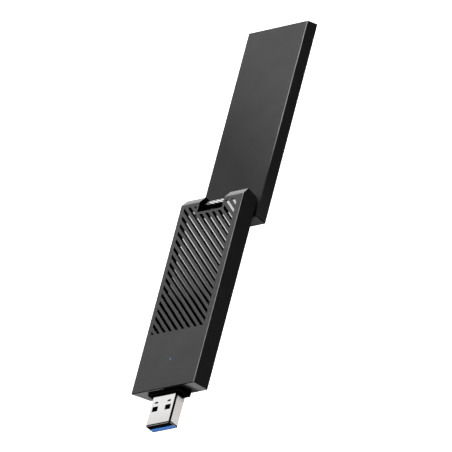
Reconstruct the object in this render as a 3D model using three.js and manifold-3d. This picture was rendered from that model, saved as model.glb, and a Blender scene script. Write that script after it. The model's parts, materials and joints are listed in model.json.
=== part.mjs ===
// Foldable USB wireless adapter: a vented stick with a USB plug at one end and a flat antenna
// paddle that hinges at the other. Millimetres, +Z up. The stick lies along Y with its plug
// towards -Y and its vented face up; the antenna paddle is straightened out towards +Y.
import * as THREE from 'three'
import { mergeVertices } from 'three/addons/utils/BufferGeometryUtils.js'
import Module from 'manifold-3d'

const wasm = await Module()
wasm.setup()

// ---- driving dimensions -------------------------------------------------------------------
// Heights are measured from the paddle's outer face, lengths from the stick's lower front edge.
const paddleThickness = 5.6
const paddleGap = 0.6
const stickBackZ = paddleThickness + paddleGap
const stickDepth = 9.2
const stickFrontZ = stickBackZ + stickDepth
const stickFrontHalfWidth = 15.3
const stickBackHalfWidth = 13.85
const stickFrontEndY = 80.1
const wall = 1.35
const coverThickness = 1.1
const frontWall = 1.5
const edgeCut = 0.22
const smallEdgeCut = 0.15
const ventSkinZ = stickFrontZ - frontWall
const endWallY = 3.6
const noseTipY = 83.5
const noseTipZ = 13.15
const earInnerEndY = 81.2

const notchHalfWidth = 6
const notchFloorY = 75.8
const notchWall = 1.3

const hingeY = 79.9
const hingeZ = stickBackZ + stickDepth / 2
const pinRadius = 1
const pinHoleRadius = 1.1
const pinInnerX = 3
const pinOuterX = 9.6
const bossRadius = 1.75
const bossOuterX = 9.2

const ventLeftX = -13.15
const ventRightX = 12.8
const ventLowY = 24.6
const ventHighY = 78.6
const ventPitchY = 3.283
const ventSlope = 1.085
const ventSlotY = 1.59
const ventPhaseY = 75.47
const ventNotchMargin = 1.1
const thinSkin = 0.35

const plugHalfWidth = 6
const plugHeight = 4.5
const plugBackZ = 8.5
const plugFrontZ = plugBackZ + plugHeight
const plugEndY = -13.85
const plugInnerEndY = 5
const plugWall = 0.3
const plugCornerRadius = 0.45

const collarHalfWidth = 8
const collarBackZ = 8
const collarFrontZ = 14.1
const collarEndY = -1.1
const collarGap = 0.15

const boardBackZ = 9.4
const boardFrontZ = 10.4
const sinkBackZ = 12.85
const sinkFrontZ = ventSkinZ - 0.05
const sinkHalfWidth = 13.05
const ledX = 0.1
const ledY = 12.3
const lightPipeRadius = 0.35

const paddleHalfWidth = 14.55
const paddleLowY = 75.9
const paddleHighY = 160.4
const paddleOuterHighY = 162
const paddleWall = 1.3

const coaxRadius = 0.45
const footScrewXs = [-7.4, 7.4]
const footScrewY = 81.6
const fitGap = 0.05
const seatGap = 0.02
const roundSides = 24
// How far a cutting shape runs past the surface it cuts.
const past = 1

// ---- solids -------------------------------------------------------------------------------
function solid (geometry) {
  geometry.deleteAttribute('normal')
  geometry.deleteAttribute('uv')
  const merged = mergeVertices(geometry)
  return new wasm.Manifold(new wasm.Mesh({
    numProp: 3,
    vertProperties: new Float32Array(merged.attributes.position.array),
    triVerts: new Uint32Array(merged.index.array)
  }))
}

function block (x0, x1, y0, y1, z0, z1) {
  const box = new THREE.BoxGeometry(x1 - x0, y1 - y0, z1 - z0)
  return solid(box.translate((x0 + x1) / 2, (y0 + y1) / 2, (z0 + z1) / 2))
}

function outline (points) {
  return new THREE.Shape(points.map(([u, v]) => new THREE.Vector2(u, v)))
}

// The same outline with a small flat across each sharp corner.
function eased (points, cut) {
  const sharpCosine = Math.cos(Math.PI / 9)
  return points.flatMap(([u, v], i) => {
    const corner = new THREE.Vector2(u, v)
    const before = new THREE.Vector2(...points.at(i - 1)).sub(corner).normalize()
    const after = new THREE.Vector2(...points[(i + 1) % points.length]).sub(corner).normalize()
    if (-before.dot(after) > sharpCosine) return [[u, v]]
    return [before, after].map(away => corner.clone().addScaledVector(away, cut).toArray())
  })
}

function rectangle (u0, u1, v0, v1) {
  return [[u0, v0], [u1, v0], [u1, v1], [u0, v1]]
}

// An outline in X and Y, extruded from z0 up to z1.
function plate (shape, z0, z1) {
  const geometry = new THREE.ExtrudeGeometry(shape, { depth: z1 - z0, bevelEnabled: false })
  return solid(geometry.translate(0, 0, z0))
}

// An outline in Y and Z, extruded from x0 to x1.
function profileAlongX (points, x0, x1) {
  const geometry = new THREE.ExtrudeGeometry(outline(points), { depth: x1 - x0, bevelEnabled: false })
  const turn = new THREE.Matrix4().makeBasis(
    new THREE.Vector3(0, 1, 0), new THREE.Vector3(0, 0, 1), new THREE.Vector3(1, 0, 0))
  return solid(geometry.applyMatrix4(turn).translate(x0, 0, 0))
}

// An outline in X and Z, extruded from y0 to y1.
function sectionAlongY (shape, y0, y1) {
  const options = { depth: y1 - y0, bevelEnabled: false, curveSegments: 4 }
  const geometry = new THREE.ExtrudeGeometry(shape, options)
  const turn = new THREE.Matrix4().makeBasis(
    new THREE.Vector3(1, 0, 0), new THREE.Vector3(0, 0, 1), new THREE.Vector3(0, -1, 0))
  return solid(geometry.applyMatrix4(turn).translate(0, y1, 0))
}

function rodAlongX (radius, x0, x1, y, z) {
  const rod = new THREE.CylinderGeometry(radius, radius, x1 - x0, roundSides).rotateZ(Math.PI / 2)
  return solid(rod.translate((x0 + x1) / 2, y, z))
}

function rodAlongZ (radius, z0, z1, x, y) {
  const rod = new THREE.CylinderGeometry(radius, radius, z1 - z0, roundSides).rotateX(Math.PI / 2)
  return solid(rod.translate(x, y, (z0 + z1) / 2))
}

function cable (points, radius) {
  const path = new THREE.CatmullRomCurve3(points.map(p => new THREE.Vector3(...p)))
  const section = new THREE.Shape().absarc(0, 0, radius, 0, 2 * Math.PI)
  return solid(new THREE.ExtrudeGeometry(section, { steps: 36, extrudePath: path, curveSegments: 5 }))
}

function roundedBox (x0, x1, z0, z1, radius) {
  const shape = new THREE.Shape()
  shape.absarc(x1 - radius, z1 - radius, radius, 0, Math.PI / 2)
  shape.absarc(x0 + radius, z1 - radius, radius, Math.PI / 2, Math.PI)
  shape.absarc(x0 + radius, z0 + radius, radius, Math.PI, 1.5 * Math.PI)
  shape.absarc(x1 - radius, z0 + radius, radius, 1.5 * Math.PI, 2 * Math.PI)
  return shape
}

// ---- materials ----------------------------------------------------------------------------
function finish (color, roughness, metalness = 0) {
  return new THREE.MeshStandardMaterial({ color, roughness, metalness })
}

const finishes = {
  casing: finish(0x4f4f4f, 0.5),
  blackPlastic: finish(0x1b1b1b, 0.5),
  steel: finish(0xd9d7d3, 0.25, 1),
  aluminium: finish(0xc9cacc, 0.35, 1),
  gold: finish(0xd8b25a, 0.3, 1),
  bluePlastic: finish(0x3f7fd8, 0.4),
  board: finish(0x174a2c, 0.5),
  chip: finish(0x202022, 0.6),
  pad: finish(0x9aa6b4, 0.9),
  lens: finish(0x6fc3ff, 0.2),
  foam: finish(0x2a2a2a, 1),
  cableJacket: finish(0x2b2b2b, 0.5)
}

const adapter = new THREE.Group()

function add (name, shape, material) {
  const { vertProperties, triVerts } = shape.getMesh()
  const geometry = new THREE.BufferGeometry()
  geometry.setAttribute('position', new THREE.BufferAttribute(vertProperties, 3))
  geometry.setIndex(new THREE.BufferAttribute(triVerts, 1))
  geometry.computeVertexNormals()
  const mesh = new THREE.Mesh(geometry, material)
  mesh.name = name
  adapter.add(mesh)
}

// ---- stick: front housing and rear cover --------------------------------------------------
const stickSection = [
  [-stickBackHalfWidth, stickBackZ],
  [stickBackHalfWidth, stickBackZ],
  [stickFrontHalfWidth, stickFrontZ],
  [-stickFrontHalfWidth, stickFrontZ]
]

// The side outline: slanted plug end, chamfered nose at the hinge end.
const plugEndSlant = 2
const stickProfile = [
  [plugEndSlant, stickBackZ],
  [noseTipY - 1.7, stickBackZ],
  [noseTipY - 0.2, stickBackZ + 1],
  [noseTipY, noseTipZ],
  [stickFrontEndY, stickFrontZ],
  [0, stickFrontZ]
]

// A plan outline with two ears either side of the hinge notch.
function earedPlan (halfWidth, lowY, earY, floorY, earInnerX) {
  return outline([
    [-halfWidth, lowY],
    [halfWidth, lowY],
    [halfWidth, earY],
    [earInnerX, earY],
    [earInnerX, floorY],
    [-earInnerX, floorY],
    [-earInnerX, earY],
    [-halfWidth, earY]
  ])
}

// Slanted slots, cut off by the vent window and by a margin around the notch.
function ventSlots () {
  const overrun = 2
  const x0 = ventLeftX - overrun
  const x1 = ventRightX + overrun
  const drop = ventSlope * (x1 - x0)
  const countBelow = 24
  const countAbove = 10
  let slots = null
  for (let k = -countBelow; k <= countAbove; k++) {
    const topY = ventPhaseY + k * ventPitchY + ventSlope * overrun
    const slot = plate(outline([
      [x0, topY],
      [x0, topY - ventSlotY],
      [x1, topY - ventSlotY - drop],
      [x1, topY - drop]
    ]), ventSkinZ - past, stickFrontZ + past)
    slots = slots ? slots.add(slot) : slot
  }
  const notchX = notchHalfWidth + ventNotchMargin
  const notchY = notchFloorY - ventNotchMargin
  return slots
    .intersect(block(ventLeftX, ventRightX, ventLowY, ventHighY, ventSkinZ - past, stickFrontZ + past))
    .subtract(block(-notchX, notchX, notchY, ventHighY + past, ventSkinZ - 2 * past, stickFrontZ + 2 * past))
}

// The corner of the right ear where the heat sink rises to just under the face. Its slanting side
// runs along the middle of a bar between two slots.
function cornerPad (inset) {
  const slotsUp = 7
  const barMiddleY = ventPhaseY + slotsUp * ventPitchY + (ventPitchY - ventSlotY) / 2
  const sideY = x => barMiddleY - ventSlope * (x - ventLeftX)
  const left = notchHalfWidth + notchWall + inset
  const right = 13.2 - inset
  const top = ventHighY + 1 - inset
  return outline([
    [left, sideY(left) + inset],
    [right, sideY(right) + 2 * inset],
    [right, top],
    [left, top]
  ])
}

function frontHousing () {
  const shell = profileAlongX(eased(stickProfile, smallEdgeCut), -stickFrontHalfWidth, stickFrontHalfWidth)
    .intersect(sectionAlongY(outline(eased(stickSection, edgeCut)), -past, noseTipY + past))
    .subtract(block(-notchHalfWidth, notchHalfWidth, notchFloorY, noseTipY + past,
      stickBackZ - past, stickFrontZ + past))
    .subtract(profileAlongX([
      [notchFloorY - smallEdgeCut, stickFrontZ],
      [notchFloorY + past, stickFrontZ - smallEdgeCut - past],
      [notchFloorY + past, stickFrontZ]
    ], -notchHalfWidth, notchHalfWidth))
  const hollowBackHalfWidth = stickBackHalfWidth - wall + 0.2
  const hollow = plate(earedPlan(stickFrontHalfWidth, endWallY, earInnerEndY, notchFloorY - notchWall,
    notchHalfWidth + notchWall), stickBackZ - past, ventSkinZ)
    .intersect(sectionAlongY(outline([
      [-hollowBackHalfWidth, stickBackZ - past],
      [hollowBackHalfWidth, stickBackZ - past],
      [stickFrontHalfWidth - wall, stickFrontZ],
      [-stickFrontHalfWidth + wall, stickFrontZ]
    ]), 0, noseTipY))
  let housing = shell.subtract(hollow)
  for (const side of [-1, 1]) {
    const inner = side * notchHalfWidth
    const outer = side * bossOuterX
    const low = Math.min(inner, outer)
    const high = Math.max(inner, outer)
    housing = housing
      .add(rodAlongX(bossRadius, low, high, hingeY, hingeZ))
      .subtract(rodAlongX(pinHoleRadius, low - past, high + past, hingeY, hingeZ))
  }
  return housing
    .subtract(ventSlots())
    .subtract(plate(cornerPad(0), ventSkinZ - past, stickFrontZ - thinSkin))
    .subtract(rodAlongZ(lightPipeRadius + fitGap, ventSkinZ - past, stickFrontZ + past, ledX, ledY))
    .subtract(block(-collarHalfWidth - collarGap, collarHalfWidth + collarGap, -past, plugInnerEndY + 0.1,
      collarBackZ - collarGap, collarFrontZ + collarGap))
}

function rearCover () {
  const halfWidth = 12.72
  const plan = earedPlan(halfWidth, endWallY + fitGap, earInnerEndY - 0.1, notchFloorY - notchWall - fitGap,
    notchHalfWidth + notchWall + fitGap)
  return plate(plan, stickBackZ, stickBackZ + coverThickness)
}

add('front_housing', frontHousing(), finishes.casing)
add('rear_cover', rearCover(), finishes.casing)

// ---- plug ---------------------------------------------------------------------------------
// A square block around the plug, with a flange that holds it behind the end wall.
function plugCollar () {
  const hole = sectionAlongY(roundedBox(-plugHalfWidth - fitGap, plugHalfWidth + fitGap,
    plugBackZ - fitGap, plugFrontZ + fitGap, plugCornerRadius), collarEndY - past, plugInnerEndY + past)
  const flangeHalfWidth = 9.6
  const flangeFrontZ = 13.2
  const recessHalfWidth = 6.6
  const recessDepth = 1.6
  const recessBorder = 0.25
  const across = rectangle(-collarHalfWidth, collarHalfWidth, collarBackZ, collarFrontZ)
  const along = rectangle(collarEndY, plugInnerEndY, collarBackZ, collarFrontZ)
  return sectionAlongY(outline(eased(across, edgeCut)), collarEndY, plugInnerEndY)
    .intersect(profileAlongX(eased(along, edgeCut), -collarHalfWidth, collarHalfWidth))
    .add(block(-flangeHalfWidth, flangeHalfWidth, endWallY + 0.1, plugInnerEndY, collarBackZ, flangeFrontZ))
    .subtract(hole)
    .subtract(block(-recessHalfWidth, recessHalfWidth, collarEndY - past, collarEndY + recessDepth,
      collarBackZ + recessBorder, collarFrontZ - 2 * recessBorder))
}

// The folded steel shell: two latch windows and two stamped spring slits on each broad face, and
// the folding seam along one edge.
function usbShell () {
  const windowCentres = [-3.4, 2.8]
  const windowHalfWidth = 1.35
  const windowLowY = -8.02
  const windowHighY = -5.9
  const slitY = -4.2
  const slitRadius = 1
  const slitHalfWidth = 0.38
  const seamX = 5.25
  const seamWidth = 0.5
  const seamDepth = 0.16
  const outside = roundedBox(-plugHalfWidth, plugHalfWidth, plugBackZ, plugFrontZ, plugCornerRadius)
  const inside = roundedBox(-plugHalfWidth + plugWall, plugHalfWidth - plugWall,
    plugBackZ + plugWall, plugFrontZ - plugWall, plugCornerRadius - plugWall)
  let shell = sectionAlongY(outside, plugEndY, plugInnerEndY)
    .subtract(sectionAlongY(inside, plugEndY - past, plugInnerEndY + past))
    .subtract(block(seamX, seamX + seamWidth, plugEndY - past, plugInnerEndY + past,
      plugFrontZ - seamDepth, plugFrontZ + past))
  for (const x of windowCentres) {
    shell = shell.subtract(block(x - windowHalfWidth, x + windowHalfWidth, windowLowY, windowHighY,
      plugBackZ - past, plugFrontZ + past))
    const slit = new THREE.Shape()
    const centreY = slitY - slitRadius
    slit.absarc(x, centreY, slitRadius + slitHalfWidth, 0.25 * Math.PI, 0.75 * Math.PI)
    slit.absarc(x, centreY, slitRadius - slitHalfWidth, 0.75 * Math.PI, 0.25 * Math.PI, true)
    shell = shell.subtract(plate(slit, plugBackZ - past, plugFrontZ + past))
  }
  return shell
}

const tongueHalfWidth = 5.55
const tongueBackZ = plugBackZ + plugWall + fitGap
const tongueFrontZ = 10.5

add('plug_collar', plugCollar(), finishes.blackPlastic)
add('usb_shell', usbShell(), finishes.steel)
add('usb_tongue', block(-tongueHalfWidth, tongueHalfWidth, plugEndY + 0.1, plugInnerEndY - 0.2,
  tongueBackZ, tongueFrontZ), finishes.bluePlastic)

// Four long contacts in the front row, and five shorter ones between and beside them behind.
const contactThickness = 0.2
const contactRows = [
  { xs: [-3.5, -1, 1, 3.5], halfWidth: 0.5, lowY: plugEndY + 1.6, highY: -5.2 },
  { xs: [-4, -2, 0, 2, 4], halfWidth: 0.35, lowY: -3.9, highY: 6.4 }
]
let contactNumber = 1
for (const { xs, halfWidth, lowY, highY } of contactRows) {
  for (const x of xs) {
    add(`usb_contact_${contactNumber}`, block(x - halfWidth, x + halfWidth, lowY, highY,
      tongueFrontZ + seatGap, tongueFrontZ + contactThickness), finishes.gold)
    contactNumber += 1
  }
}

// ---- electronics in the stick -------------------------------------------------------------
const screwXs = [-10, 10]
const screwYs = [31, 60.5]
const screwShaftRadius = 0.75
const boardHalfWidth = 11.9
const boardLowY = 6.6
const boardHighY = 73.6

function forEachScrew (use) {
  screwYs.forEach((y, row) => screwXs.forEach((x, column) => use(x, y, row * 2 + column + 1)))
}

function mainBoard () {
  let board = block(-boardHalfWidth, boardHalfWidth, boardLowY, boardHighY, boardBackZ, boardFrontZ)
  forEachScrew((x, y) => {
    board = board.subtract(rodAlongZ(screwShaftRadius + 0.2, boardBackZ - past, boardFrontZ + past, x, y))
  })
  return board
}

// The plate right under the vents, with four standoffs down to the board.
function heatSink () {
  const lowY = 22.5
  const earY = 80.4
  const padInset = 0.12
  const standoffRadius = 1.9
  const threadDepth = 0.5
  let sink = plate(earedPlan(sinkHalfWidth, lowY, earY, notchFloorY - notchWall - 0.2,
    notchHalfWidth + notchWall + 0.1), sinkBackZ, sinkFrontZ)
    .add(plate(cornerPad(padInset), sinkBackZ + 0.2, stickFrontZ - thinSkin - fitGap))
  forEachScrew((x, y) => {
    sink = sink
      .add(rodAlongZ(standoffRadius, boardFrontZ + seatGap, sinkBackZ + 0.2, x, y))
      .subtract(rodAlongZ(screwShaftRadius + 0.08, boardFrontZ - past, sinkBackZ + threadDepth, x, y))
  })
  return sink
}

// A cross-recessed screw whose head is at its lower end.
function panScrew (x, y, headLowZ, seatZ, tipZ) {
  const long = 0.9
  const short = 0.2
  const depth = 0.3
  const headRadius = 1.5
  const recess = block(x - long, x + long, y - short, y + short, headLowZ - past, headLowZ + depth)
    .add(block(x - short, x + short, y - long, y + long, headLowZ - past, headLowZ + depth))
  return rodAlongZ(headRadius, headLowZ, seatZ, x, y)
    .add(rodAlongZ(screwShaftRadius, seatZ - 0.1, tipZ, x, y))
    .subtract(recess)
}

// A pressed can over the back of the board, open towards it.
function rfShield () {
  const halfWidth = 9
  const lowY = 32
  const highY = 54
  const height = 1.5
  const sheet = 0.25
  const top = boardBackZ - seatGap
  return block(-halfWidth, halfWidth, lowY, highY, top - height, top)
    .subtract(block(-halfWidth + sheet, halfWidth - sheet, lowY + sheet, highY - sheet,
      top - height + sheet, top + past))
}

const chipHeight = 1.2
const padFoot = boardFrontZ + chipHeight + seatGap
const boardParts = [
  { name: 'radio_chip', x: [-6, 6], y: [38, 50], height: chipHeight, look: finishes.chip },
  { name: 'usb_bridge_chip', x: [-4, 4], y: [20, 28], height: 0.9, look: finishes.chip },
  { name: 'clock_crystal', x: [7.6, 10.8], y: [55, 57.5], height: 0.8, look: finishes.steel },
  { name: 'power_inductor', x: [6.5, 10.5], y: [15, 19], height: 1.9, look: finishes.chip }
]

add('main_board', mainBoard(), finishes.board)
for (const { name, x, y, height, look } of boardParts) {
  add(name, block(...x, ...y, boardFrontZ + seatGap, boardFrontZ + height), look)
}
add('thermal_pad', block(-7, 7, 37, 51, padFoot, sinkBackZ - seatGap), finishes.pad)
add('rf_shield', rfShield(), finishes.steel)
add('heat_sink', heatSink(), finishes.aluminium)
forEachScrew((x, y, number) => {
  const screw = panScrew(x, y, boardBackZ - 0.9, boardBackZ - seatGap, sinkBackZ + 0.1)
  add(`heat_sink_screw_${number}`, screw, finishes.steel)
})

const ledHalfWidth = 0.8
const ledHalfLength = 0.4
const ledTopZ = boardFrontZ + 0.7
const pipeFootRadius = 1
const pipeFootHeight = 1.15
add('status_led', block(ledX - ledHalfWidth, ledX + ledHalfWidth, ledY - ledHalfLength, ledY + ledHalfLength,
  boardFrontZ + seatGap, ledTopZ), finishes.lens)
const pipeBackZ = ledTopZ + fitGap
const lightPipe = rodAlongZ(lightPipeRadius, pipeBackZ, stickFrontZ, ledX, ledY)
  .add(rodAlongZ(pipeFootRadius, pipeBackZ, pipeBackZ + pipeFootHeight, ledX, ledY))
add('light_pipe', lightPipe, finishes.lens)

// ---- hinge --------------------------------------------------------------------------------
// Two stub pins in the ears; the left one is a sleeve that lets the antenna lead through.
const sleeveBoreRadius = 0.62
const washerRadius = 2.2
const washerInnerX = 5.55
const washerOuterX = 5.92
const hingePinRight = rodAlongX(pinRadius, pinInnerX, pinOuterX, hingeY, hingeZ)
const hingeSleeveLeft = rodAlongX(pinRadius, -pinOuterX, -pinInnerX, hingeY, hingeZ)
  .subtract(rodAlongX(sleeveBoreRadius, -pinOuterX - past, 0, hingeY, hingeZ))
const frictionWasher = rodAlongX(washerRadius, washerInnerX, washerOuterX, hingeY, hingeZ)
  .subtract(rodAlongX(pinRadius + 0.08, washerInnerX - past, washerOuterX + past, hingeY, hingeZ))

add('hinge_pin_right', hingePinRight, finishes.steel)
add('hinge_sleeve_left', hingeSleeveLeft, finishes.steel)
add('friction_washer', frictionWasher, finishes.steel)

const connectorX = -9.4
const connectorY = 64.5
const connectorTopZ = boardFrontZ + 1.1
const connectorRadius = 1.3
const connector = rodAlongZ(connectorRadius, boardFrontZ + seatGap, connectorTopZ, connectorX, connectorY)
add('coax_connector', connector, finishes.gold)

// The antenna lead meets its other half face to face on the hinge axis, inside the sleeve's end.
const leadSplitX = -4.6
const leadGap = 0.15
const stickLead = cable([
  [connectorX, connectorY + 1.9, connectorTopZ - 0.5],
  [connectorX - 0.4, connectorY + 3, connectorTopZ - 0.45],
  [-12, 72.5, connectorTopZ - 0.5],
  [-12.1, 76, hingeZ],
  [-12, 78.4, hingeZ],
  [-11.3, 79.6, hingeZ],
  [-9.8, hingeY, hingeZ],
  [-7.5, hingeY, hingeZ],
  [leadSplitX - leadGap, hingeY, hingeZ]
], coaxRadius)
add('antenna_lead_stick', stickLead, finishes.cableJacket)

// The knuckle is the paddle's crank: a foot clamped inside the paddle, a web through its face and
// a barrel between the ears. Its sloping nose carries the bright detent plate.
const knuckleLeftX = -5.8
const knuckleRightX = 5.45
const noseLow = [80.3, 12.7]
const noseHigh = [82.4, 11.65]
const noseNormal = [0.447, 0.894]
const detentThickness = 0.3

function sunk ([y, z], depth) {
  return [y - depth * noseNormal[0], z - depth * noseNormal[1]]
}

const knuckleLowY = 76.3
const knuckleHighY = 83.4
const webLowY = 77.6
const webHighY = 82.8
const footLowZ = 3
const footHalfWidth = 9
const footHighY = 85.6
const leadChannelX = -1.4

function hingeKnuckle () {
  const seat = detentThickness + fitGap
  const barrel = profileAlongX([
    [knuckleLowY, paddleThickness + fitGap],
    [knuckleHighY, paddleThickness + fitGap],
    [knuckleHighY, hingeZ - 1.2],
    sunk(noseHigh, seat),
    sunk(noseLow, seat),
    [noseLow[0] - 0.15, noseLow[1]],
    [knuckleLowY + 1.1, noseLow[1]],
    [knuckleLowY, noseLow[1] - 1.1]
  ], knuckleLeftX, knuckleRightX)
  const web = block(knuckleLeftX + 0.1, knuckleRightX - 0.1, webLowY, webHighY,
    footLowZ, paddleThickness + 1)
  const foot = block(-footHalfWidth, footHalfWidth, webLowY - 0.2, footHighY,
    footLowZ, paddleThickness - paddleWall - fitGap)
  const pinClearance = 0.3
  const leadBoreRadius = 0.8
  let knuckle = barrel.add(web).add(foot)
    .subtract(rodAlongX(pinHoleRadius, pinInnerX - pinClearance, footHalfWidth, hingeY, hingeZ))
    .subtract(rodAlongX(pinHoleRadius, -footHalfWidth, -pinInnerX + pinClearance, hingeY, hingeZ))
    .subtract(rodAlongX(leadBoreRadius, -footHalfWidth, leadChannelX, hingeY, hingeZ))
    .subtract(rodAlongZ(leadBoreRadius + 0.1, footLowZ - past, hingeZ + 0.3, leadChannelX, hingeY))
  for (const x of footScrewXs) {
    knuckle = knuckle.subtract(
      rodAlongZ(screwShaftRadius + 0.1, footLowZ - past, paddleThickness, x, footScrewY))
  }
  return knuckle
}

const detentPlate = profileAlongX([
  noseLow,
  sunk(noseLow, detentThickness),
  sunk(noseHigh, detentThickness),
  noseHigh
], knuckleLeftX, knuckleRightX)

add('hinge_knuckle', hingeKnuckle(), finishes.blackPlastic)
add('detent_plate', detentPlate, finishes.steel)
footScrewXs.forEach((x, i) => {
  const screw = panScrew(x, footScrewY, footLowZ - 0.85, footLowZ - seatGap, paddleThickness - 0.6)
  add(`knuckle_screw_${i + 1}`, screw, finishes.steel)
})

// ---- antenna paddle -----------------------------------------------------------------------
const paddleFloorZ = paddleThickness - paddleWall
const paddleSlant = (paddleOuterHighY - paddleHighY) / paddleThickness

// The slanted tip: Y of the end wall's outside at a height, moved in by an inset.
function tipY (z, inset) {
  return paddleOuterHighY - paddleSlant * z - inset
}

function paddleShell () {
  const outside = profileAlongX(eased([
    [paddleLowY, 0],
    [paddleOuterHighY, 0],
    [paddleHighY, paddleThickness],
    [paddleLowY, paddleThickness]
  ], smallEdgeCut), -paddleHalfWidth, paddleHalfWidth)
    .intersect(sectionAlongY(outline(eased(rectangle(-paddleHalfWidth, paddleHalfWidth, 0, paddleThickness),
      edgeCut)), paddleLowY - past, paddleOuterHighY + past))
  const hollow = profileAlongX([
    [paddleLowY + paddleWall, -past],
    [tipY(-past, paddleWall), -past],
    [tipY(paddleFloorZ, paddleWall), paddleFloorZ],
    [paddleLowY + paddleWall, paddleFloorZ]
  ], -paddleHalfWidth + paddleWall, paddleHalfWidth - paddleWall)
  const webSlot = block(knuckleLeftX, knuckleRightX, webLowY - 0.1, webHighY + 0.1,
    paddleFloorZ - past, paddleThickness + past)
  let shell = outside.subtract(hollow).subtract(webSlot)
  for (const x of footScrewXs) {
    shell = shell.subtract(
      rodAlongZ(screwShaftRadius + fitGap, paddleFloorZ - past, paddleThickness - 0.4, x, footScrewY))
  }
  return shell
}

function paddleCover () {
  return profileAlongX([
    [paddleLowY + paddleWall + fitGap, 0],
    [tipY(0, paddleWall + fitGap), 0],
    [tipY(coverThickness, paddleWall + fitGap), coverThickness],
    [paddleLowY + paddleWall + fitGap, coverThickness]
  ], -paddleHalfWidth + paddleWall + fitGap, paddleHalfWidth - paddleWall - fitGap)
}

add('paddle_shell', paddleShell(), finishes.casing)
add('paddle_cover', paddleCover(), finishes.casing)

const antennaHalfWidth = 12.4
const antennaLowY = 88
const antennaHighY = 158
const antennaLowZ = 2.2
const antennaTopZ = 3
const foamInset = 1.4
const foamEndInset = 7
const antennaFoam = block(-antennaHalfWidth + foamInset, antennaHalfWidth - foamInset,
  antennaLowY + foamEndInset, antennaHighY - foamEndInset, coverThickness + fitGap, antennaLowZ - fitGap)
add('antenna_board', block(-antennaHalfWidth, antennaHalfWidth, antennaLowY, antennaHighY,
  antennaLowZ, antennaTopZ), finishes.board)
add('antenna_foam', antennaFoam, finishes.foam)

// Two printed radiators: a folded arm for the low band and a short arm for the high band.
const lowBandArm = outline([
  [1, 92], [10.5, 92], [10.5, 152], [-6, 152], [-6, 149], [7.5, 149], [7.5, 95], [1, 95]
])
const highBandArm = outline([
  [-9.5, 97], [2, 97], [2, 100], [-6.5, 100], [-6.5, 126], [-9.5, 126]
])
const copperBackZ = antennaTopZ + seatGap
const copperFrontZ = antennaTopZ + 0.12
add('antenna_low_band', plate(lowBandArm, copperBackZ, copperFrontZ), finishes.gold)
add('antenna_high_band', plate(highBandArm, copperBackZ, copperFrontZ), finishes.gold)

const paddleLead = cable([
  [leadSplitX + leadGap, hingeY, hingeZ],
  [-3.2, hingeY, hingeZ],
  [-2.1, hingeY, hingeZ - 0.1],
  [leadChannelX - 0.1, hingeY, hingeZ - 0.9],
  [leadChannelX, hingeY, hingeZ - 2.2],
  [leadChannelX, hingeY, 6],
  [leadChannelX, hingeY, 3.6],
  [leadChannelX, 80.3, 2.4],
  [leadChannelX, 81.7, 1.85],
  [leadChannelX, 84.3, 1.9],
  [leadChannelX, 86.4, 2.7],
  [leadChannelX, 88.2, antennaTopZ + 0.58],
  [leadChannelX, 91.5, antennaTopZ + 0.55]
], coaxRadius)
add('antenna_lead_paddle', paddleLead, finishes.cableJacket)

// The origin is under the middle of the whole adapter, on the surface it lies on.
adapter.position.y = -(plugEndY + paddleOuterHighY) / 2

export default adapter
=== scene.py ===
import json
import math

import bpy
from mathutils import Matrix, Vector


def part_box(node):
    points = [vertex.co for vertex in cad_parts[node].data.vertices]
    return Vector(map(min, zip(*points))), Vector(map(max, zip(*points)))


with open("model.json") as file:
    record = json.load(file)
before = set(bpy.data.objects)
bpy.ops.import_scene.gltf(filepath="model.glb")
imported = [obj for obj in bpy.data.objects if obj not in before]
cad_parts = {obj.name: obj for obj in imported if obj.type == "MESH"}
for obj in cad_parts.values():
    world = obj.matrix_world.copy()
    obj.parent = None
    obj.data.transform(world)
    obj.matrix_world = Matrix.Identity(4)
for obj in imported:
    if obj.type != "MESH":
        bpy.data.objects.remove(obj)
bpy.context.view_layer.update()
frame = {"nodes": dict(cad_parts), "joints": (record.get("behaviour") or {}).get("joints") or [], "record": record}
nodes = frame["nodes"]
MM = 0.001

# ---- where things are, from the frame -------------------------------------------------------
housing_low, housing_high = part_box("front_housing")
paddle_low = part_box("paddle_shell")[0]
plug_low, plug_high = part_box("usb_shell")
sink_top_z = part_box("heat_sink")[1].z
hinge = next(j for j in frame["joints"] if j["name"] == "antenna_flip")
hinge_point = Vector(hinge["pos_m"])

# ---- shades and limits that several materials share -----------------------------------------
# Black of painted shade, for corners, slots, gaps, openings and dark edges.
SHADE_BLACK = (0.001, 0.001, 0.001)
# Black of painted shade inside the plug; the lens's dark part uses it too.
INNER_BLACK = (0.002, 0.002, 0.002)
FLAT_FACING = 0.9        # a normal's component above this means that the face looks along that axis
EDGE_FACING = 0.78       # a normal whose largest component is below this lies on an eased edge
SKIN = 0.02 * MM         # how far inside a surface its inner side is taken to start


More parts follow.
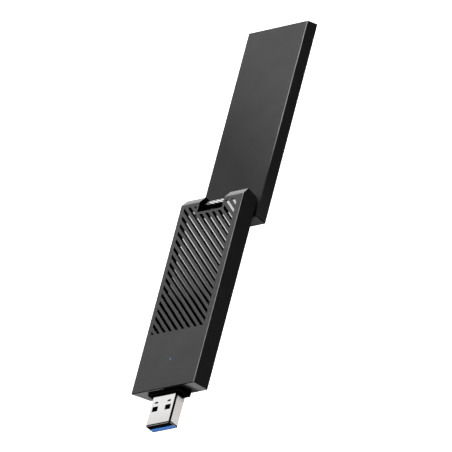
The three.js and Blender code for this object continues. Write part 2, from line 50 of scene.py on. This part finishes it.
# ---- node helpers ---------------------------------------------------------------------------
class Nodes:
    """Builds one material's node tree with few words."""

    def __init__(self, name):
        self.material = bpy.data.materials.new(name)
        self.material.use_nodes = True
        self.tree = self.material.node_tree
        self.shader = self.tree.nodes["Principled BSDF"]

    def add(self, kind, **settings):
        """A new node with its settings."""
        node = self.tree.nodes.new(kind)
        for key, value in settings.items():
            setattr(node, key, value)
        return node

    def link(self, source, target):
        self.tree.links.new(source, target)

    def constant(self, **values):
        """Sets the shader's own sockets, named with _ for a space."""
        for key, value in values.items():
            self.shader.inputs[key.replace("_", " ")].default_value = value

    def place(self, stretch=(1, 1, 1)):
        """Object coordinates in metres, stretched along each axis."""
        coordinates = self.add("ShaderNodeTexCoord")
        mapping = self.add("ShaderNodeMapping")
        mapping.inputs["Scale"].default_value = stretch
        self.link(coordinates.outputs["Object"], mapping.inputs["Vector"])
        return mapping.outputs["Vector"]

    def noise(self, size_mm, detail=4.0, stretch=(1, 1, 1), roughness=0.5):
        """Noise whose features are about size_mm across."""
        node = self.add("ShaderNodeTexNoise")
        node.inputs["Scale"].default_value = 1 / (size_mm * MM)
        node.inputs["Detail"].default_value = detail
        node.inputs["Roughness"].default_value = roughness
        self.link(self.place(stretch), node.inputs["Vector"])
        return node.outputs["Fac"]

    def spread(self, source, low, high, start=0.3, stop=0.7):
        """Maps a value that runs from start to stop onto low to high."""
        node = self.add("ShaderNodeMapRange", clamp=True)
        node.inputs["From Min"].default_value = start
        node.inputs["From Max"].default_value = stop
        node.inputs["To Min"].default_value = low
        node.inputs["To Max"].default_value = high
        self.link(source, node.inputs["Value"])
        return node.outputs["Result"]

    def blend(self, factor, first, second):
        """A colour between first and second; each is a colour or a socket."""
        node = self.add("ShaderNodeMix", data_type="RGBA")
        self.link(factor, node.inputs["Factor"])
        for value, socket in ((first, node.inputs["A"]), (second, node.inputs["B"])):
            if isinstance(value, tuple):
                socket.default_value = (*value, 1)
            else:
                self.link(value, socket)
        return node.outputs["Result"]

    def math(self, operation, first, second=0.0):
        """One operation on two values; each is a number or a socket."""
        node = self.add("ShaderNodeMath", operation=operation)
        for value, socket in ((first, node.inputs[0]), (second, node.inputs[1])):
            if isinstance(value, (int, float)):
                socket.default_value = value
            else:
                self.link(value, socket)
        return node.outputs["Value"]

    def where(self):
        """Object X, Y and Z in metres, as three sockets."""
        node = self.add("ShaderNodeSeparateXYZ")
        self.link(self.place(), node.inputs["Vector"])
        return node.outputs["X"], node.outputs["Y"], node.outputs["Z"]

    def inside(self, *ranges):
        """1 inside every (socket, low, high) range, 0 outside."""
        result = None
        for socket, low, high in ranges:
            above = self.math("GREATER_THAN", socket, low)
            below = self.math("LESS_THAN", socket, high)
            both = self.math("MULTIPLY", above, below)
            result = both if result is None else self.math("MULTIPLY", result, both)
        return result

    def facing(self):
        """The object normal's X, Y and Z, as three sockets."""
        coordinates = self.add("ShaderNodeTexCoord")
        normal = self.add("ShaderNodeSeparateXYZ")
        self.link(coordinates.outputs["Normal"], normal.inputs["Vector"])
        return normal.outputs["X"], normal.outputs["Y"], normal.outputs["Z"]

    def eased_edges(self):
        """1 on the narrow flats along edges: their normals lie between two axes."""
        largest = 0.0
        for component in self.facing():
            largest = self.math("MAXIMUM", self.math("ABSOLUTE", component), largest)
        return self.math("LESS_THAN", largest, EDGE_FACING)

    def scaled(self, color, factor):
        """A colour times a number or socket."""
        node = self.add("ShaderNodeVectorMath", operation="SCALE")
        self.link(color, node.inputs[0])
        if isinstance(factor, (int, float)):
            node.inputs["Scale"].default_value = factor
        else:
            self.link(factor, node.inputs["Scale"])
        return node.outputs["Vector"]

    def crevices(self, reach_mm):
        """1 in the open, falling to 0 in corners and slots."""
        node = self.add("ShaderNodeAmbientOcclusion", samples=8)
        node.inputs["Distance"].default_value = reach_mm * MM
        return node.outputs["AO"]

    def bumps(self, *layers):
        """Bump layers of (height socket, depth in mm), stacked onto the shader's normal."""
        normal = None
        for height, depth_mm in layers:
            node = self.add("ShaderNodeBump")
            node.inputs["Strength"].default_value = 1
            node.inputs["Distance"].default_value = depth_mm * MM
            self.link(height, node.inputs["Height"])
            if normal is not None:
                self.link(normal, node.inputs["Normal"])
            normal = node.outputs["Normal"]
        self.link(normal, self.shader.inputs["Normal"])


def gray(level):
    """A neutral colour."""
    return (level, level, level)


# ---- materials ------------------------------------------------------------------------------
def moulded_plastic(name, dark, light, rough=(0.42, 0.55), specular=0.03, grain_mm=0.16,
                    detail=None):
    """Moulded plastic with a fine spark texture, faint flow clouds and a few rubbed spots."""
    m = Nodes(name)
    clouds = m.noise(size_mm=9, detail=3)
    grain = m.noise(size_mm=grain_mm, detail=2)
    dimples = m.noise(size_mm=0.6, detail=2)
    rubbed = m.noise(size_mm=3.5, detail=5)
    smooth, matt = rough
    speck_lightness = 1.25
    grain_depth_mm = 0.006
    dimple_depth_mm = 0.004
    clouded = m.blend(m.spread(clouds, 0, 1), dark, light)
    specks = m.spread(grain, low=0, high=0.35, start=0.45, stop=0.75)
    color = m.blend(specks, clouded, tuple(speck_lightness * c for c in light))
    # detail adds the part's painted light and shade.
    if detail is not None:
        color = detail(m, color)
    m.link(color, m.shader.inputs["Base Color"])
    matt_where_black = m.spread(color, low=1, high=0, start=0.002, stop=0.01)
    roughness = m.math("MAXIMUM", m.spread(rubbed, matt, smooth), matt_where_black)
    m.link(roughness, m.shader.inputs["Roughness"])
    m.constant(Specular_IOR_Level=specular)
    m.bumps((grain, grain_depth_mm), (dimples, dimple_depth_mm))
    return m.material


def rolled_metal(name, base, rough=(0.14, 0.24), grain_axis=(1, 1, 1), tint=None, scratch_mm=0.004,
                 metallic=1.0):
    """Sheet metal with fine rolling lines and a cloudy sheen."""
    m = Nodes(name)
    lines = m.noise(size_mm=0.12, detail=3, stretch=grain_axis)
    clouds = m.noise(size_mm=4, detail=4)
    dull = 0.93
    color = m.blend(m.spread(clouds, 0, 1), tuple(dull * c for c in base), base)
    # tint adds the part's painted light and shade.
    if tint is not None:
        color = tint(m, color)
    m.link(color, m.shader.inputs["Base Color"])
    m.link(m.spread(lines, *rough), m.shader.inputs["Roughness"])
    m.constant(Metallic=metallic)
    m.bumps((lines, scratch_mm))
    return m.material


def shaded(m, color, reach_mm=3.0):
    """Painted shade: corners, gaps and slots, found by an occlusion test, are painted deep black."""
    openness = m.spread(m.crevices(reach_mm), low=0, high=1, start=0.2, stop=0.8)
    return m.blend(openness, SHADE_BLACK, color)


def edge_highlight_and_shade(m, color, right, along=None):
    """Painted highlights on the eased edges, brightest on edges that face right, and painted black shade on the
    edges along the plug end.
    """
    left = 0.12
    turned = 0.3
    x, y, _ = m.facing()
    shine = m.spread(x, low=left, high=right, start=-turned, stop=turned)
    if along is not None:
        shine = m.math("MULTIPLY", shine, along)
    patchy_white = m.blend(m.spread(m.noise(size_mm=2.5), 0, 1), gray(0.9), gray(1.0))
    bright = m.scaled(patchy_white, shine)
    on_low_end = m.math("LESS_THAN", y, -turned)
    return m.blend(m.eased_edges(), color, m.blend(on_low_end, bright, SHADE_BLACK))


def sides(m):
    """1 on faces that look along X."""
    x, _, _ = m.facing()
    return m.math("GREATER_THAN", m.math("ABSOLUTE", x), FLAT_FACING)


def end_face_light_and_shade(m, color, x, z):
    """The face around the collar, with painted light and shade: painted lighter on the left and at the far right,
    with a painted shadow right of the collar and a painted black band of shade at its front edge.
    """
    left_light = 1.75
    front_band = 0.45 * MM
    right_light = m.spread(x, low=0.1, high=1.85, start=9.7 * MM, stop=11.8 * MM)
    on_left = m.math("MULTIPLY", m.math("LESS_THAN", x, 0.0), left_light)
    below_band = m.math("LESS_THAN", z, housing_high.z - front_band)
    return m.scaled(color, m.math("MULTIPLY", m.math("MAXIMUM", right_light, on_left), below_band))


def openings_shade_mask(m, x, y, z):
    """1 on the walls of the vents and of the hinge notch, where black is painted as shade."""
    vent_half = 13.3 * MM
    vents_from = housing_low.y + 20 * MM
    vents_to = housing_high.y - 4.5 * MM
    vent_skin = 0.03 * MM
    notch_half = 6.05 * MM
    notch_from = hinge_point.y - 4.12 * MM
    past_the_end = 1
    vents = m.inside((x, -vent_half, vent_half), (y, vents_from, vents_to),
                     (z, housing_low.z - MM, housing_high.z - vent_skin))
    notch = m.inside((x, -notch_half, notch_half), (y, notch_from, past_the_end))
    return m.math("MAXIMUM", vents, notch)


def housing_painted_light(m, color):
    """Painted light and shade on the housing: the face is painted lighter towards the hinge, the sides are painted
    dark, the nose is painted light as a highlight, and the openings are painted black as shade.
    """
    x, y, z = m.where()
    low, high = housing_low.y, housing_high.y
    face_end = high - 8 * MM
    nose_depth = 1.8 * MM
    face = m.scaled(color, m.spread(y, low=1.03, high=1.32, start=low, stop=face_end))
    side = m.scaled(color, m.spread(y, low=0.5, high=0.33, start=low, stop=high))
    _, facing_y, facing_z = m.facing()
    plug_end = m.math("LESS_THAN", facing_y, -FLAT_FACING)
    end = end_face_light_and_shade(m, color, x, z)
    flat = m.blend(plug_end, m.blend(sides(m), face, side), end)
    toned = edge_highlight_and_shade(m, flat, right=0.75)
    nose = m.inside((facing_y, 0.4, 0.7), (facing_z, 0.7, 0.95))
    nose_highlight = m.blend(m.spread(m.noise(size_mm=6), 0, 1), gray(0.92), gray(1.0))
    nose_level = m.spread(z, low=0.225, high=0.16, start=housing_high.z - nose_depth, stop=housing_high.z)
    with_nose = m.blend(nose, toned, m.scaled(nose_highlight, nose_level))
    return m.blend(openings_shade_mask(m, x, y, z), shaded(m, with_nose), SHADE_BLACK)


def paddle_painted_light(m, color):
    """Painted light and shade on the paddle: its face is painted lighter towards its tip and its sides lighter
    towards the hinge, with a painted black band of shade at the hinge end of the sides; its edges carry painted
    highlights that fade towards the hinge, and its corners painted shade.
    """
    x, y, _ = m.where()
    along = m.math("ADD", x, y)
    face_from = hinge_point.y + 18 * MM
    face_to = face_from + 45 * MM
    side_to = paddle_low.y + 20 * MM
    edge_from = paddle_low.y + 18 * MM
    edge_to = paddle_low.y + 40 * MM
    black_end_to = paddle_low.y + 0.4 * MM
    face = m.scaled(color, m.spread(along, low=0.58, high=1.18, start=face_from, stop=face_to))
    side_level = m.spread(y, low=1.4, high=0.68, start=paddle_low.y, stop=side_to)
    edge_level = m.spread(y, low=0.1, high=1, start=edge_from, stop=edge_to)
    at_the_end = m.math("LESS_THAN", y, black_end_to)
    side = m.blend(at_the_end, m.scaled(color, side_level), SHADE_BLACK)
    toned = edge_highlight_and_shade(m, m.blend(sides(m), face, side), right=0.75, along=edge_level)
    return shaded(m, toned, reach_mm=5)


def cover_painted_light(m, color):
    """Faint painted highlights on the edges of the two covers, and painted shade in their corners."""
    return shaded(m, edge_highlight_and_shade(m, color, right=0.2))


def tongue_painted_shade(m, color):
    """The contact side of the tongue is painted black, as the shade inside the plug."""
    _, _, z = m.where()
    black_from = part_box("usb_tongue")[1].z - 0.05 * MM
    return m.blend(m.math("GREATER_THAN", z, black_from), color, SHADE_BLACK)


def shell_shade(m, color):
    """Painted light and shade on the plug's steel: the broad faces are painted lighter towards the collar; the
    sides are painted warmer and lighter towards the open end and darker beside the collar, as painted shade; the
    end rim is painted darker.
    """
    _, y, _ = m.where()
    low_end = plug_low.y
    light_from = low_end + 10 * MM
    shade_from = low_end + 9.5 * MM
    shade_to = low_end + 12.5 * MM
    rim_level = 0.3
    face = m.scaled(color, m.spread(y, low=0.86, high=1.0, start=low_end, stop=light_from))
    warm = m.blend(m.spread(y, low=0, high=1, start=low_end, stop=light_from),
                   (1.0, 0.965, 0.935), (0.9, 0.865, 0.845))
    side = m.scaled(warm, m.spread(m.noise(size_mm=3), 0.95, 1))
    near_collar = m.spread(y, low=1, high=0.4, start=shade_from, stop=shade_to)
    walls = m.blend(sides(m), face, m.scaled(side, near_collar))
    _, facing_y, _ = m.facing()
    on_rim = m.math("LESS_THAN", facing_y, -FLAT_FACING)
    return m.scaled(walls, m.spread(on_rim, low=1, high=rim_level, start=0, stop=1))


def seam_shadow(m, color):
    """The plug's steel with painted dark: painted shade in the folding seam and a painted dark reflection on the
    rounded corner around it, and painted black shade at the lip and inside the shell.
    """
    x, y, z = m.where()
    seam_left = 5.15 * MM
    seam_right = 5.99 * MM
    seam_depth = 0.38 * MM
    wall = 0.28 * MM
    lip_depth = 0.55 * MM
    above_all = 1
    mouth = plug_low.y + SKIN
    seam = m.inside((x, seam_left, seam_right), (z, plug_high.z - seam_depth, above_all))
    inside = m.inside((x, plug_low.x + wall, plug_high.x - wall), (y, mouth, plug_high.y),
                      (z, plug_low.z + SKIN, plug_high.z - SKIN))
    lip = m.inside((y, mouth, plug_low.y + lip_depth))
    dark = m.math("MAXIMUM", m.math("MAXIMUM", seam, inside), lip)
    return m.blend(dark, shell_shade(m, color), INNER_BLACK)


def sink_painted_fade(m, color):
    """Painted light on the heat sink: it is painted fading to black towards the plug, as its reflection dims
    there, and its raised corner is painted a little darker as shade.
    """
    _, y, z = m.where()
    length = housing_high.y - housing_low.y
    black_up_to = housing_low.y + 0.455 * length
    bright_from = housing_low.y + 0.766 * length
    raised_from = sink_top_z - 0.2 * MM
    raised_level = 0.72
    blackness = m.spread(y, low=1, high=0, start=black_up_to, stop=bright_from)
    raised = m.math("GREATER_THAN", z, raised_from)
    toned = m.scaled(color, m.spread(raised, low=1, high=raised_level, start=0, stop=1))
    return m.blend(blackness, toned, gray(0.004))


def stripes_and_painted_shade(m, color):
    """Fine diagonal stripes on the front face; the other faces are painted near black as shade."""
    x, y, _ = m.where()
    lean = 0.478
    stripe_period = 1.05 * MM
    front_facing = 0.8
    across = m.math("ADD", m.math("MULTIPLY", x, lean), y)
    wave = m.math("SINE", m.math("MULTIPLY", across, 2 * math.pi / stripe_period))
    striped = m.blend(m.spread(wave, low=0, high=1, start=-0.7, stop=0.1), gray(0.05), color)
    _, _, facing_z = m.facing()
    return m.blend(m.math("GREATER_THAN", facing_z, front_facing), gray(0.02), striped)


def circuit_board(name):
    """Green solder mask over a faint pattern of tracks."""
    m = Nodes(name)
    patches_per_metre = 420
    track_width = 0.03
    track_depth_mm = 0.02
    brick = m.add("ShaderNodeTexBrick", offset=0.37)
    brick.inputs["Scale"].default_value = patches_per_metre
    brick.inputs["Mortar Size"].default_value = track_width
    brick.inputs["Color1"].default_value = (0.006, 0.05, 0.022, 1)
    brick.inputs["Color2"].default_value = (0.008, 0.06, 0.028, 1)
    brick.inputs["Mortar"].default_value = (0.03, 0.13, 0.06, 1)
    m.link(m.place(), brick.inputs["Vector"])
    m.link(brick.outputs["Color"], m.shader.inputs["Base Color"])
    m.link(m.spread(m.noise(size_mm=2), 0.3, 0.45), m.shader.inputs["Roughness"])
    m.bumps((brick.outputs["Fac"], track_depth_mm))
    return m.material


def soft_material(name, dark, light, size_mm, rough, depth_mm=0.05):
    """Foam, a soft pad or a cable jacket, with cells about size_mm across."""
    m = Nodes(name)
    cells = m.noise(size_mm=size_mm, detail=5)
    patches = m.noise(size_mm=3 * size_mm)
    m.link(m.blend(m.spread(cells, 0, 1), dark, light), m.shader.inputs["Base Color"])
    m.link(m.spread(patches, rough - 0.08, rough + 0.05), m.shader.inputs["Roughness"])
    m.bumps((cells, depth_mm))
    return m.material


def clear_lens(name):
    """The status light's lens: its left part is black, and the rest glows blue."""
    m = Nodes(name)
    clouds = m.noise(size_mm=0.5)
    x, _, _ = m.where()
    lamp_low, lamp_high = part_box("light_pipe")
    middle = (lamp_low.x + lamp_high.x) / 2
    dark_to = middle - 0.12 * MM
    lit_from = middle + 0.05 * MM
    lit = m.spread(x, low=0, high=1, start=dark_to, stop=lit_from)
    clear = m.blend(m.spread(clouds, 0, 1), (0.02, 0.3, 0.6), (0.1, 0.6, 0.95))
    m.link(m.blend(lit, INNER_BLACK, clear), m.shader.inputs["Base Color"])
    m.link(m.spread(clouds, 0.1, 0.25), m.shader.inputs["Roughness"])
    m.link(m.blend(lit, gray(0.0), (0.02, 0.4, 0.75)), m.shader.inputs["Emission Color"])
    m.constant(Emission_Strength=0.5)
    return m.material


CASING_DARK = gray(0.078)
CASING_LIGHT = gray(0.086)
casing = moulded_plastic("casing_plastic", CASING_DARK, CASING_LIGHT, detail=housing_painted_light)
cover = moulded_plastic("cover_plastic", CASING_DARK, CASING_LIGHT, detail=cover_painted_light)
paddle = moulded_plastic("paddle_plastic", CASING_DARK, CASING_LIGHT, detail=paddle_painted_light)
black = moulded_plastic("black_plastic", gray(0.0015), gray(0.003), detail=shaded)
# The hinge knuckle is painted near black, as the deep shade in the hinge notch.
knuckle = moulded_plastic("knuckle_shade_black", gray(0.001), gray(0.0015), specular=0.01, detail=shaded)
blue = moulded_plastic("tongue_plastic", (0.022, 0.14, 0.48), (0.03, 0.17, 0.56), specular=0.3,
                       detail=tongue_painted_shade)
chip = moulded_plastic("chip_black", gray(0.012), gray(0.018), rough=(0.5, 0.65))
steel = rolled_metal("plug_steel", (0.95, 0.94, 0.93), rough=(0.08, 0.16), grain_axis=(1, 0.08, 1),
                     tint=seam_shadow)
detent = rolled_metal("detent_steel", gray(0.88), rough=(0.2, 0.3), grain_axis=(0.1, 1, 1),
                      tint=stripes_and_painted_shade, metallic=0.75)
hinge_steel = rolled_metal("hinge_steel", (0.9, 0.89, 0.87), rough=(0.16, 0.28), grain_axis=(0.1, 1, 1))
aluminium = rolled_metal("sink_aluminium", (0.97, 0.97, 0.98), rough=(0.1, 0.17),
                         grain_axis=(1, 0.05, 1), tint=sink_painted_fade, scratch_mm=0.002)
gold = rolled_metal("contact_gold", (0.83, 0.62, 0.27), rough=(0.15, 0.3), grain_axis=(1, 0.1, 1))
board = circuit_board("board_green")
pad = soft_material("thermal_pad", (0.26, 0.31, 0.38), (0.34, 0.39, 0.46), size_mm=0.8, rough=0.85)
foam = soft_material("foam", gray(0.012), gray(0.03), size_mm=0.4, rough=0.95, depth_mm=0.15)
jacket = soft_material("lead_jacket", gray(0.015), gray(0.022), size_mm=0.5, rough=0.5, depth_mm=0.01)
lens = clear_lens("led_lens")

by_slot = {
    "casing_plastic": casing, "black_plastic": black, "plug_steel": steel, "hinge_steel": hinge_steel,
    "sink_aluminium": aluminium, "tongue_plastic": blue, "contact_gold": gold, "board_green": board,
    "chip_black": chip, "thermal_pad": pad, "led_lens": lens, "foam": foam, "lead_jacket": jacket,
}
by_node = {
    "rear_cover": cover, "paddle_shell": paddle, "paddle_cover": cover, "hinge_knuckle": knuckle,
    "detent_plate": detent,
}
for part in frame["record"]["subparts"]:
    slots = nodes[part["node"]].data.materials
    slots.clear()
    slots.append(by_node.get(part["node"], by_slot[part["material_slot"]]))


# ---- camera ---------------------------------------------------------------------------------
LENS_MM = 1000
SENSOR_MM = 36
IMAGE_WIDTH_MM = 165.3
CLIP_END_M = 50
AIM_FROM_HINGE_MM = Vector((0.35, -5.54, -5.17))
to_camera = Vector((0.647, -0.468, 0.602)).normalized()
image_up = Vector((0.157, 0.854, 0.495))
aim = hinge_point + AIM_FROM_HINGE_MM * MM

camera_data = bpy.data.cameras.new("camera")
camera_data.lens = LENS_MM
camera_data.sensor_width = SENSOR_MM
camera_data.clip_end = CLIP_END_M
camera = bpy.data.objects.new("camera", camera_data)
bpy.context.scene.collection.objects.link(camera)
image_right = image_up.cross(to_camera).normalized()
upright = to_camera.cross(image_right)
turn = Matrix((image_right, upright, to_camera)).transposed()
camera.rotation_mode = "QUATERNION"
camera.rotation_quaternion = turn.to_quaternion()
camera.location = aim + to_camera * IMAGE_WIDTH_MM * MM * LENS_MM / SENSOR_MM
bpy.context.scene.camera = camera


# ---- studio ---------------------------------------------------------------------------------
LAMP_DISTANCE_M = 1.2


def area_light(name, direction, size, power):
    """A soft square lamp in a direction from the adapter, aimed at it."""
    data = bpy.data.lights.new(name, "AREA")
    data.shape = "SQUARE"
    data.size = size
    data.energy = power
    lamp = bpy.data.objects.new(name, data)
    bpy.context.scene.collection.objects.link(lamp)
    away = Vector(direction).normalized()
    lamp.location = aim + away * LAMP_DISTANCE_M
    lamp.rotation_mode = "QUATERNION"
    lamp.rotation_quaternion = away.to_track_quat("Z", "Y")
    lamp.visible_glossy = False


area_light("top_softbox", direction=(-0.35, 0.1, 1), size=0.9, power=7)
area_light("tip_softbox", direction=(-0.1, 1, 0.12), size=0.6, power=44)
area_light("plug_softbox", direction=(0.0, -1, -0.1), size=0.6, power=34)


def studio_world():
    """White to the camera; a soft gradient to reflections, brighter on the left; dim elsewhere."""
    white_level = 1.05
    dim_level = 0.02
    left_level = 1.15
    right_level = 0.84
    ramp_half = 0.6
    world = bpy.data.worlds.new("studio")
    world.use_nodes = True
    tree = world.node_tree
    tree.nodes.clear()
    where = tree.nodes.new("ShaderNodeTexCoord")
    split = tree.nodes.new("ShaderNodeSeparateXYZ")
    ramp = tree.nodes.new("ShaderNodeMapRange")
    ramp.inputs["From Min"].default_value = -ramp_half
    ramp.inputs["From Max"].default_value = ramp_half
    ramp.inputs["To Min"].default_value = left_level
    ramp.inputs["To Max"].default_value = right_level
    rays = tree.nodes.new("ShaderNodeLightPath")
    reflected = tree.nodes.new("ShaderNodeMix")
    reflected.inputs["A"].default_value = dim_level
    seen = tree.nodes.new("ShaderNodeMix")
    seen.inputs["B"].default_value = white_level
    background = tree.nodes.new("ShaderNodeBackground")
    output = tree.nodes.new("ShaderNodeOutputWorld")
    tree.links.new(where.outputs["Generated"], split.inputs["Vector"])
    tree.links.new(split.outputs["X"], ramp.inputs["Value"])
    tree.links.new(rays.outputs["Is Glossy Ray"], reflected.inputs["Factor"])
    tree.links.new(ramp.outputs["Result"], reflected.inputs["B"])
    tree.links.new(rays.outputs["Is Camera Ray"], seen.inputs["Factor"])
    tree.links.new(reflected.outputs["Result"], seen.inputs["A"])
    tree.links.new(seen.outputs["Result"], background.inputs["Strength"])
    tree.links.new(background.outputs["Background"], output.inputs["Surface"])
    bpy.context.scene.world = world


def pale_floor():
    """A pale floor that glows, so it shows no shadow, set below the adapter."""
    half = 4.0
    drop = 0.03
    mesh = bpy.data.meshes.new("floor")
    corners = [(-half, -half), (half, -half), (half, half), (-half, half)]
    mesh.from_pydata([(x, y, -drop) for x, y in corners], [], [(0, 1, 2, 3)])
    floor = bpy.data.objects.new("floor", mesh)
    bpy.context.scene.collection.objects.link(floor)
    m = Nodes("floor_paper")
    paper = m.blend(m.noise(size_mm=40), gray(0.9), gray(0.93))
    m.link(paper, m.shader.inputs["Base Color"])
    m.constant(Roughness=0.9, Specular_IOR_Level=0.0, Emission_Color=(1, 1, 1, 1), Emission_Strength=1.0)
    mesh.materials.append(m.material)
    floor.visible_diffuse = False
    floor.visible_glossy = False


studio_world()
pale_floor()
bpy.context.scene.view_settings.view_transform = "Standard"
